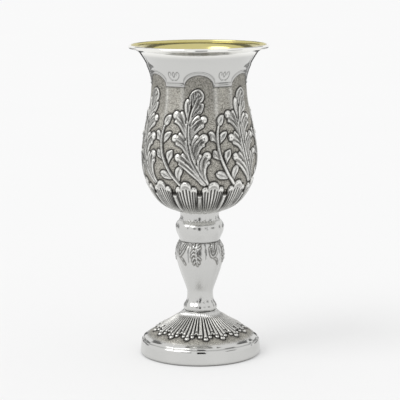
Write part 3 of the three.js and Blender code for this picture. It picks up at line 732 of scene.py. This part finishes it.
def turn_piece(name, outline, columns, carve=None, closed=False):
    """Wraps a grid round the axis along an outline and moves it along its normals as carved.

    The grid has one row for each point of the outline. A closed outline ends where it starts.
    """
    rows = len(outline)
    bpy.ops.object.select_all(action="DESELECT")
    bpy.ops.mesh.primitive_grid_add(x_subdivisions=columns, y_subdivisions=rows - 1, size=2,
                                    location=(0, 0, 0))
    piece = bpy.context.active_object
    piece.name = name
    mesh = piece.data
    mesh.name = name
    flat = np.empty(len(mesh.vertices) * 3)
    mesh.vertices.foreach_get("co", flat)
    flat = flat.reshape(-1, 3)
    angle = 180 * (flat[:, 0] + 1)
    row = np.rint((flat[:, 1] + 1) / 2 * (rows - 1)).astype(int)
    slope = np.gradient(outline, axis=0)
    if closed:
        slope[0] = slope[-1] = outline[1] - outline[-2]
    slope /= np.maximum(np.hypot(*slope.T), 1e-9)[:, None]
    radius, height = outline[row, 0], outline[row, 1]
    if carve:
        marks = carve(angle % 360, radius, height, row)
        lift = np.where(radius < 0.01, 0, marks.pop("lift"))
        radius = radius + lift * slope[row, 1]
        height = height - lift * slope[row, 0]
        for mark, values in marks.items():
            layer = mesh.attributes.new(mark, "FLOAT", "POINT")
            layer.data.foreach_set("value", values.astype(np.float32))
    turn = np.radians(angle)
    placed = np.stack([radius * np.sin(turn), -radius * np.cos(turn), height], 1) * MM
    mesh.vertices.foreach_set("co", placed.ravel())
    mesh.update()
    bpy.ops.object.mode_set(mode="EDIT")
    bpy.ops.mesh.select_all(action="SELECT")
    bpy.ops.mesh.remove_doubles(threshold=2e-6)
    bpy.ops.mesh.normals_make_consistent(inside=False)
    bpy.ops.object.mode_set(mode="OBJECT")
    bpy.ops.object.shade_smooth()
    return piece


def settle_piece(piece, node, material):
    """Gives a piece its material, puts it under the root body and hides the solid of its node."""
    piece.data.materials.clear()
    piece.data.materials.append(material)
    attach(piece, "root")
    if node:
        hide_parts(node)


# ------------------------------------------------------------------ materials

class Wire:
    """A number that comes out of a shader node. Python's operators on it add Math nodes."""

    def __init__(self, graph, socket):
        self.graph = graph
        self.socket = socket

    def math(self, operation, first, second):
        return self.graph.node("ShaderNodeMath", {"operation": operation}, {0: first, 1: second})

    def __add__(self, other):
        return self.math("ADD", self, other)

    __radd__ = __add__

    def __mul__(self, other):
        return self.math("MULTIPLY", self, other)

    def __sub__(self, other):
        return self.math("SUBTRACT", self, other)

    def __rsub__(self, other):
        return self.math("SUBTRACT", other, self)

    def clamp(self):
        return self.graph.node("ShaderNodeClamp", {}, {0: self})


class Graph:
    """The shader nodes of one material."""

    def __init__(self, name):
        self.material = bpy.data.materials.new(name)
        self.material.use_nodes = True
        self.tree = self.material.node_tree
        self.tree.nodes.clear()

    def node(self, kind, settings=None, inputs=None, output=0):
        made = self.tree.nodes.new(kind)
        for key, value in (settings or {}).items():
            setattr(made, key, value)
        for key, value in (inputs or {}).items():
            if isinstance(value, Wire):
                self.tree.links.new(value.socket, made.inputs[key])
            else:
                made.inputs[key].default_value = value
        return Wire(self, made.outputs[output])

    def mark(self, name):
        """The values of a mesh attribute."""
        return self.node("ShaderNodeAttribute", {"attribute_name": name}, output="Fac")

    def place(self):
        return self.node("ShaderNodeTexCoord", output="Object")

    def mix(self, factor, first, second, how="MIX"):
        return self.node("ShaderNodeMix", {"data_type": "RGBA", "blend_type": how},
                         {0: factor, 6: first, 7: second}, output=2)

    def noise(self, place, scale, detail, roughness=0.5):
        return self.node("ShaderNodeTexNoise", {},
                         {"Vector": place, "Scale": scale, "Detail": detail, "Roughness": roughness})

    def ramp(self, value, *stops):
        wire = self.node("ShaderNodeValToRGB", {}, {0: value})
        elements = wire.socket.node.color_ramp.elements
        while len(elements) < len(stops):
            elements.new(0.5)
        for element, (position, *shade) in zip(elements, stops):
            element.position = position
            element.color = colour(shade)
        return wire

    def bump(self, strength, distance, height):
        return self.node("ShaderNodeBump", {},
                         {"Strength": strength, "Distance": distance, "Height": height})

    def finish(self, **inputs):
        """Puts the shader at the end. Every input goes to the shader's socket of that name."""
        sockets = {key.replace("_", " ").title().replace("Ior", "IOR"): inputs[key] for key in inputs}
        shader = self.node("ShaderNodeBsdfPrincipled", {}, sockets)
        out = self.tree.nodes.new("ShaderNodeOutputMaterial")
        self.tree.links.new(shader.socket, out.inputs["Surface"])
        return self.material


def colour(values):
    return (*values, 1)


def silver(name, looks, polish):
    """Polished silver, greyer where it is chased, with a stippled ground and tarnish in its hollows.
    Painted highlights brighten rubbed crests and the lip, and painted shade darkens flanks, creases,
    webs and the foot's bottom edge.
    """
    graph = Graph(name)
    place = graph.place()
    ground, shade, chased, rub = (graph.mark(mark) for mark in ("ground", "shade", "chased", "rub"))
    cloud = graph.noise(place, 60.0, 3.0, 0.6)
    grain = graph.noise(place, 950.0, 2.0, 0.7)
    fleck = graph.noise(place, 1500.0, 2.0, 0.7)
    dents = graph.node("ShaderNodeTexVoronoi", {"feature": "F1"}, {"Vector": place, "Scale": 1700.0})

    # the lip turns to the crest colour: a painted highlight
    bright = graph.mix((rub - 1).clamp(), colour(looks.bright), colour(looks.crest))
    # flanks of chased forms: partly wear, partly painted shade
    worn_and_shaded = graph.mix((chased * (1 - rub) * 1.3).clamp(), bright, colour(looks.flank))
    # crests of chased forms: partly rubbed bright, partly a painted highlight
    polished = graph.mix((chased * (rub * 2.0 - 1.1)).clamp(), worn_and_shaded, colour(looks.crest))
    tone = graph.mix(ground, polished, colour(looks.ground))
    stipple = (0.50 + (fleck - 0.5) * 6.0 + (dents - 0.45) * 0.9 + (cloud - 0.5) * 0.35).clamp()
    speckle = graph.ramp(stipple, (0, 0.50, 0.49, 0.47), (0.5, 0.97, 0.97, 0.96), (1, 1.45, 1.44, 1.42))
    specked = graph.mix(ground, tone, speckle, "MULTIPLY")
    brushed = graph.ramp(fleck, (0.38, 0.80, 0.80, 0.79), (0.62, 1.16, 1.16, 1.16))
    chiselled = graph.mix((chased * (1 - ground)).clamp(), specked, brushed, "MULTIPLY")
    # tarnish in grooves and hollows, together with painted shade in creases, on webs and at the foot's
    # bottom edge
    dark = (shade * looks.tarnish * (grain * 0.5 + 0.78)).clamp()
    base = graph.mix(dark, chiselled, colour(looks.dark))

    roughness = (polish + ground * looks.matt + chased * 0.14 + (grain - 0.5) * 0.05
                 + shade * 0.25 + (cloud - 0.5) * 0.04).clamp()
    height = dents * ground + fleck * ground * 1.6 + grain * (ground * 0.6 + chased * 0.25 + 0.02)
    return graph.finish(base_color=base, roughness=roughness, metallic=1.0,
                        normal=graph.bump(0.6, 0.25 * MM, height))


def gilding(name, looks):
    """Bright gold with soft clouds of a paler one."""
    graph = Graph(name)
    place = graph.place()
    cloud = graph.noise(place, 70.0, 3.0)
    grain = graph.noise(place, 700.0, 2.0)
    base = graph.mix((cloud * 1.4 - 0.2).clamp(), colour(looks.gold), colour(looks.pale_gold))
    return graph.finish(base_color=base, roughness=0.13 + cloud * 0.05 + grain * 0.03, metallic=1.0,
                        normal=graph.bump(0.15, 0.1 * MM, grain))


def table_top(name, tint, glow):
    """A matt table that glows a little, so that it meets the room without an edge."""
    graph = Graph(name)
    cloud = graph.noise(graph.place(), 3.0, 2.0)
    base = graph.mix(cloud, colour([0.985 * c for c in tint]), colour(tint))
    return graph.finish(base_color=base, roughness=0.9, specular_ior_level=0.0,
                        emission_color=(1, 1, 1, 1), emission_strength=glow)


# ------------------------------------------------------------------ settings

class GobletLooks(bpy.types.PropertyGroup):
    bright: FloatVectorProperty(
        name="Bright silver", description="Colour of the polished silver",
        subtype="COLOR", size=3, default=(0.625, 0.625, 0.61))
    ground: FloatVectorProperty(
        name="Ground", description="Colour of the stippled, darkened ground",
        subtype="COLOR", size=3, default=(0.435, 0.424, 0.39))
    # flank colour: partly wear, partly painted shade on the sides of forms
    flank: FloatVectorProperty(
        name="Flanks", description="Colour of chased forms that aren't rubbed bright",
        subtype="COLOR", size=3, default=(0.35, 0.345, 0.326))
    # crest colour: partly rubbed bright, partly a painted highlight; the lip takes it too
    crest: FloatVectorProperty(
        name="Crests", description="Colour of chased forms that are rubbed bright",
        subtype="COLOR", size=3, default=(0.91, 0.905, 0.87))
    # also the colour of the painted shade in creases, on webs and at the foot's bottom edge
    dark: FloatVectorProperty(
        name="Tarnish", description="Colour of the tarnish in grooves and hollows",
        subtype="COLOR", size=3, default=(0.035, 0.033, 0.03))
    gold: FloatVectorProperty(
        name="Gold", description="Deeper colour of the gilding",
        subtype="COLOR", size=3, default=(0.57, 0.51, 0.20))
    pale_gold: FloatVectorProperty(
        name="Pale gold", description="Lighter colour of the gilding",
        subtype="COLOR", size=3, default=(0.63, 0.57, 0.27))
    # also sets how dark the painted shade is
    tarnish: FloatProperty(
        name="Tarnish strength", description="How dark the hollows are",
        default=1.0, min=0, max=2, subtype="FACTOR")
    polish: FloatProperty(
        name="Polish", description="Roughness of the polished silver",
        default=0.10, min=0, max=1, subtype="FACTOR")
    cast: FloatProperty(
        name="Cast polish", description="Roughness of the polished castings",
        default=0.2, min=0, max=1, subtype="FACTOR")
    matt: FloatProperty(
        name="Matt", description="Roughness that the ground adds",
        default=0.34, min=0, max=1, subtype="FACTOR")


class GobletStage(bpy.types.PropertyGroup):
    distance: FloatProperty(
        name="Camera distance", description="Camera to the cup's axis", default=1.0775, unit="LENGTH")
    height: FloatProperty(
        name="Camera height", description="Camera above the table", default=0.2853, unit="LENGTH")
    aside: FloatProperty(
        name="Camera aside", description="Camera to the right of the cup's axis",
        default=0.00027, unit="LENGTH")
    tilt: FloatProperty(
        name="Camera tilt", description="How far the camera looks down",
        default=math.radians(9.5), subtype="ANGLE")
    roll: FloatProperty(
        name="Camera roll", description="Turn of the camera about its view",
        default=math.radians(-0.33), subtype="ANGLE")
    lens: FloatProperty(
        name="Lens", description="Focal length on a 36 mm sensor, in millimetres", default=145.71)
    table: FloatVectorProperty(
        name="Table", description="Colour of the table",
        subtype="COLOR", size=3, default=(0.56, 0.56, 0.56))
    glow: FloatProperty(
        name="Table glow", description="Light that the table gives off", default=0.30, min=0)
    room: FloatVectorProperty(
        name="Room", description="Light of the pale room",
        subtype="COLOR", size=3, default=(0.955, 0.955, 0.955))
    window: FloatProperty(
        name="Window", description="Strength of the large soft window light", default=0.85, min=0)
    window_size: FloatProperty(
        name="Window size", description="Angle that the window fills",
        default=math.radians(34), subtype="ANGLE")
    window_place: FloatVectorProperty(
        name="Window place", description="Direction of the window from the cup",
        subtype="DIRECTION", size=3, default=(-0.62, -0.35, 0.9))


class GobletSizes(bpy.types.PropertyGroup):
    bowl_columns: IntProperty(
        name="Bowl columns", description="Points round the bowl", default=444, min=60)
    gilding_columns: IntProperty(
        name="Gilding columns", description="Points round the gilding", default=180, min=60)
    stem_columns: IntProperty(
        name="Stem columns", description="Points round the stem", default=384, min=32)
    foot_columns: IntProperty(
        name="Foot columns", description="Points round the foot", default=608, min=64)
    wall: FloatProperty(
        name="Wall", description="Thickness of the sheet", default=0.9 * MM, unit="LENGTH")
    lip_bead: FloatProperty(
        name="Lip bead", description="Radius of the rolled lip", default=1.2 * MM, unit="LENGTH")
    bore: FloatProperty(
        name="Bore", description="Radius of the bore through the stem", default=3.5 * MM, unit="LENGTH")


# ------------------------------------------------------------------ pieces

def lip_bead(sizes, extra, start, end, steps):
    """An arc round the middle of the rolled lip."""
    bead = sizes.lip_bead / MM
    return arc((LIP_RADIUS - bead, BOWL_TOP - bead), bead + extra, start, end, steps)


class GOBLET_OT_bowl(bpy.types.Operator):
    """Make the chased bowl with its calyx, plumes, sprigs, border and rolled lip"""
    bl_idname = "goblet.bowl"
    bl_label = "Bowl"

    def execute(self, context):
        looks = context.scene.goblet_looks
        sizes = context.scene.goblet_sizes
        thickness = sizes.wall / MM
        wall = bowl_wall()
        relief = stations(wall, *BOWL_ROWS)
        inner = even(inner_wall(wall, thickness)[::-1], CAVITY_PITCH)
        floor = BOWL_FOOT + 2 * thickness
        outline = np.vstack([
            [(0, BOWL_FOOT), (SEAT_RADIUS, BOWL_FOOT)], relief, lip_bead(sizes, 0, -75, 175, 9),
            inner[inner[:, 0] > 14.2], [(12.6, floor), (0, floor)],
        ])
        inner_rows = 2 + len(relief)
        panel = bowl_carving()

        def carve(angle, radius, height, row):
            carved = (row > 1) & (row < inner_rows) & (height < CARVED_TOP)
            # from 202.5 mm up, the lip and the flare's top take the crest colour: a painted highlight on
            # the lip
            lip = 1 + ease(height, 202.5, 205.5)
            marks = panel.marks(carved, angle, height, lift=0, ground=0, shade=0, chased=0, rub=lip)
            marks["lift"] *= ease(row, 1, 3)
            return marks

        piece = turn_piece("bowl_chased", outline, sizes.bowl_columns, carve)
        settle_piece(piece, "bowl", silver("chased silver", looks, looks.polish))
        return {"FINISHED"}


class GOBLET_OT_gilding(bpy.types.Operator):
    """Make the thin gilding inside the bowl"""
    bl_idname = "goblet.gilding"
    bl_label = "Gilding"

    def execute(self, context):
        sizes = context.scene.goblet_sizes
        thickness = sizes.wall / MM
        floor = BOWL_FOOT + 2 * thickness
        wall = bowl_wall()
        outer, inner = (inner_wall(wall, thickness + depth) for depth in (GILDING_GAP, GILDING_DEPTH))
        outline = np.vstack([
            [(0, floor + 0.04), (12.0, floor + 0.04)], even(outer[outer[:, 0] > CAVITY_ROOT], 6.0),
            lip_bead(sizes, 0.1, 118, 175, 5)[::-1], even(inner[inner[:, 0] > CAVITY_ROOT][::-1], 1.0),
            [(12.4, floor + 0.3), (0, floor + 0.16)],
        ])
        piece = turn_piece("bowl_gilding", outline, sizes.gilding_columns)
        settle_piece(piece, None, gilding("gilding", context.scene.goblet_looks))
        return {"FINISHED"}


class GOBLET_OT_stem(bpy.types.Operator):
    """Make the cast knop with its collar and the cast baluster"""
    bl_idname = "goblet.stem"
    bl_label = "Knop and baluster"

    def execute(self, context):
        looks = context.scene.goblet_looks
        material = silver("cast silver", looks, looks.cast)
        self.make_knop(context.scene.goblet_sizes, material)
        self.make_baluster(context.scene.goblet_sizes, material)
        return {"FINISHED"}

    def make_knop(self, sizes, material):
        base, bore = KNOP_FOOT, sizes.bore / MM
        top = base + 20.28
        side = even(joined(base, *KNOP_SIDE), 0.4)
        outline = np.vstack([[(bore, base), (12.6, base)], side,
                             [(12.6, top), (bore, top), (bore, base)]])

        def carve(angle, radius, height, row):
            rise = height - base
            swell = np.clip(1 - ((rise - 9.4) / 7.0) ** 2, 0, 1)
            depth = (0.7 * swell + 0.45 * ease(rise, 14.6, 15.6)) * (radius > 12.8)
            beads = peak(rise, 14.5, 0.36)
            wave = np.cos(np.radians(COLLAR_BEADS * angle))
            # painted shade along the collar's crease and at the knop's foot
            crease = beads * (0.4 + 0.4 * wave) + peak(rise, 0, 0.6)
            shade = np.clip(0.6 * crease, 0, 1) * (radius > 12)
            none = np.zeros_like(angle)
            return {"lift": depth * (lobes(angle) - 1) + 0.16 * beads * wave,
                    "ground": none, "shade": shade, "chased": none, "rub": none + 1}

        piece = turn_piece("knop_cast", outline, sizes.stem_columns, carve, closed=True)
        settle_piece(piece, "knop", material)

    def make_baluster(self, sizes, material):
        base, bore = STEM_FOOT, sizes.bore / MM
        top, bottom = base + CREASE_RISE, base - 0.28
        side = even(joined(base, *BALUSTER_SIDE), 0.42)
        outline = np.vstack([[(bore, bottom), (10.6, bottom)], side,
                             [(12.4, top), (bore, top), (bore, bottom)]])
        panel = stem_carving()

        def carve(angle, radius, height, row):
            rise = height - base
            outside = radius > 8
            marks = panel.marks(outside, angle, height, lift=0, shade=0, rub=1, near=0)
            fluted = (ease(rise, 14, 26) + 0.8 * (1 - ease(rise, 5.5, 9))) * (1 - ease(rise, 45.5, 47.2))
            # painted shade in the crease under the knop
            crease = 0.5 * peak(rise, 47.2, 0.5) * outside
            rub = np.maximum(marks["rub"], 1 - marks["near"])
            return {"lift": marks["lift"] + 0.5 * (lobes(angle) - 1) * outside * fluted,
                    "ground": np.zeros_like(angle), "shade": np.maximum(0.68 * marks["shade"], crease),
                    "chased": 1 - rub, "rub": rub}

        piece = turn_piece("baluster_cast", outline, sizes.stem_columns, carve, closed=True)
        settle_piece(piece, "baluster", material)


class GOBLET_OT_foot(bpy.types.Operator):
    """Make the domed foot with its ring of fluted shells, polished band and inturned ring"""
    bl_idname = "goblet.foot"
    bl_label = "Foot"

    def execute(self, context):
        looks = context.scene.goblet_looks
        sizes = context.scene.goblet_sizes
        thickness = sizes.wall / MM
        bore = sizes.bore / MM
        outer = FOOT_RADIUS
        dome_curve = joined(0, DOME_EDGE, ((29.3, 16.8), (13.4, 23.5), DOME_TOP, 90))
        dome = even(dome_curve, 0.36)
        band = np.vstack([
            bezier((outer - 1.5, 0.0), (outer - 0.7, 0.1), (outer, 0.6), (outer, 1.6), 6),
            np.linspace((outer, 1.6), BAND_TOP, 12, endpoint=False),
            bezier(BAND_TOP, (40.2, 9.4), (39.9, 9.9), BAND_EDGE, 8),
            bezier(BAND_EDGE, (39.0, 10.3), (39.1, 11.3), DOME_EDGE, 6),
        ])
        hollow = inner_wall(dome_curve, thickness)[::-1]
        hollow = even(hollow[(hollow[:, 0] > 13) & (hollow[:, 1] > 9.5)], 4.0)
        outline = np.vstack([
            [(STANDING_RING, 0)], band, dome[:-1], [(bore, DOME_TOP[1]), (bore, 27.3)], hollow,
            [(HOLLOW_RADIUS, 9.2), (HOLLOW_RADIUS, thickness)],
            [(STANDING_RING, thickness), (STANDING_RING, 0)],
        ])
        first_dome = 1 + len(band)
        last_dome = first_dome + len(dome) - 1
        panel = foot_carving()

        def carve(angle, radius, height, row):
            on_dome = (row >= first_dome) & (row < last_dome)
            on_band = (row > 4) & (row < first_dome)
            marks = panel.marks(on_dome, angle + FOOT_TURN, radius, lift=0, ground=0, shade=0, rub=1)
            faceted = np.where(on_band, ease(height, 1, 9), on_dome * ease(radius, 34, DOME_EDGE[0]))
            marks["lift"] *= 1 - ease(row, last_dome - 5, last_dome - 1)
            marks["lift"] += 0.55 * (lobes(angle) - 1) * faceted
            chased = on_dome * (1 - ease(radius, 33.6, 37.2))
            marks["ground"] *= chased
            marks["chased"] = chased * ease(radius, 12.5, 15)
            # a dark line where the band meets the dome: a painted reflection on the rounded shoulder
            painted_edge_reflection = on_band * 0.35 * peak(height, 10.5, 0.3)
            # the band's bottom edge darkened: a painted contact shadow
            contact = (row < first_dome) & (radius > 38)
            under = contact * 0.95 * peak(height, 0, 0.9)
            marks["shade"] = np.maximum.reduce([marks["shade"], painted_edge_reflection, under])
            return marks

        piece = turn_piece("foot_chased", outline, sizes.foot_columns, carve, closed=True)
        settle_piece(piece, "foot", silver("spun silver", looks, looks.polish))
        return {"FINISHED"}


# ------------------------------------------------------------------ stage

# Cards that only the polished silver reflects: name, tone, place, width and height, turn about the axis
CARDS = (
    ("black_card", 0.01, (0.021, -0.3, 0.155), (0.10, 0.25), 0),
    ("grey_card_left", 0.30, (-0.175, -0.303, 0.17), (0.15, 0.14), -30),
    ("grey_card_right", 0.30, (0.297, -0.185, 0.17), (0.16, 0.14), 58),
    ("grey_card_behind", 0.16, (0.0, 1.2, 1.22), (2.2, 0.8), 0),
    ("grey_card_behind_left", 0.30, (-0.36, 0.36, 0.085), (0.26, 0.17), 45),
    ("grey_card_behind_right", 0.30, (0.36, 0.36, 0.085), (0.26, 0.17), -45),
    ("dark_card_behind", 0.08, (0.0, 0.62, 0.06), (0.6, 0.12), 0),
)
TABLE_SIZE = 60  # metres, so that its far edge is lost in the room
SENSOR_WIDTH = 36


def make_card(context, name, tone, place, size, turn):
    """An upright matt card that casts no shadow and that the camera doesn't see."""
    bpy.ops.object.select_all(action="DESELECT")
    bpy.ops.mesh.primitive_plane_add(size=1, location=place,
                                     rotation=(math.radians(90), 0, math.radians(turn)))
    card = context.active_object
    card.name = name
    card.scale = (*size, 1)
    bpy.ops.object.transform_apply(location=False, rotation=True, scale=True)
    card.data.materials.append(Graph(name).finish(base_color=colour([tone] * 3), roughness=0.9))
    card.visible_camera = False
    card.visible_diffuse = False
    card.visible_shadow = False


class GOBLET_OT_stage(bpy.types.Operator):
    """Set the table, the soft studio light and the camera"""
    bl_idname = "goblet.stage"
    bl_label = "Stage"

    def execute(self, context):
        stage = context.scene.goblet_stage
        bpy.ops.object.select_all(action="DESELECT")
        bpy.ops.mesh.primitive_plane_add(size=TABLE_SIZE, location=(0, 0, 0))
        floor = context.active_object
        floor.name = "table_top"
        floor.data.materials.append(table_top("table", stage.table, stage.glow))
        for card in CARDS:
            make_card(context, *card)

        lamp = bpy.data.lights.new("window", "SUN")
        lamp.energy = stage.window
        lamp.angle = stage.window_size
        window = bpy.data.objects.new("window", lamp)
        context.collection.objects.link(window)
        window.matrix_world = Vector(stage.window_place).to_track_quat("Z", "Y").to_matrix().to_4x4()

        world = bpy.data.worlds.new("studio")
        world.use_nodes = True
        background = world.node_tree.nodes["Background"]
        background.inputs["Color"].default_value = colour(stage.room)
        background.inputs["Strength"].default_value = 1.0
        context.scene.world = world
        context.scene.view_settings.view_transform = "Standard"

        lens = bpy.data.cameras.new("camera")
        lens.lens = stage.lens
        lens.sensor_width = SENSOR_WIDTH
        lens.clip_start = 0.01
        camera = bpy.data.objects.new("camera", lens)
        context.collection.objects.link(camera)
        tilt = Matrix.Rotation(math.radians(90) - stage.tilt, 4, "X")
        stand = Matrix.Translation((stage.aside, -stage.distance, stage.height))
        camera.matrix_world = stand @ tilt @ Matrix.Rotation(stage.roll, 4, "Z")
        context.scene.camera = camera
        return {"FINISHED"}


# ------------------------------------------------------------------ add-on

OPERATORS = (GOBLET_OT_stage, GOBLET_OT_bowl, GOBLET_OT_gilding, GOBLET_OT_stem, GOBLET_OT_foot)
GROUPS = {"goblet_sizes": GobletSizes, "goblet_looks": GobletLooks, "goblet_stage": GobletStage}


class GOBLET_PT_panel(bpy.types.Panel):
    """Builds the goblet"""
    bl_label = "Goblet"
    bl_idname = "GOBLET_PT_panel"
    bl_space_type = "VIEW_3D"
    bl_region_type = "UI"
    bl_category = "Goblet"

    def draw(self, context):
        for operator in OPERATORS:
            self.layout.operator(operator.bl_idname)
        for group in GROUPS:
            settings = getattr(context.scene, group)
            box = self.layout.box()
            for key in settings.__annotations__:
                box.prop(settings, key)


CLASSES = (*GROUPS.values(), *OPERATORS, GOBLET_PT_panel)


def register():
    for kind in CLASSES:
        bpy.utils.register_class(kind)
    for name, kind in GROUPS.items():
        setattr(bpy.types.Scene, name, PointerProperty(type=kind))


def unregister():
    for name in GROUPS:
        delattr(bpy.types.Scene, name)
    for kind in reversed(CLASSES):
        bpy.utils.unregister_class(kind)


def main():
    register()
    bpy.ops.goblet.stage()
    bpy.ops.goblet.bowl()
    bpy.ops.goblet.gilding()
    bpy.ops.goblet.stem()
    bpy.ops.goblet.foot()


if __name__ == "__main__":
    main()
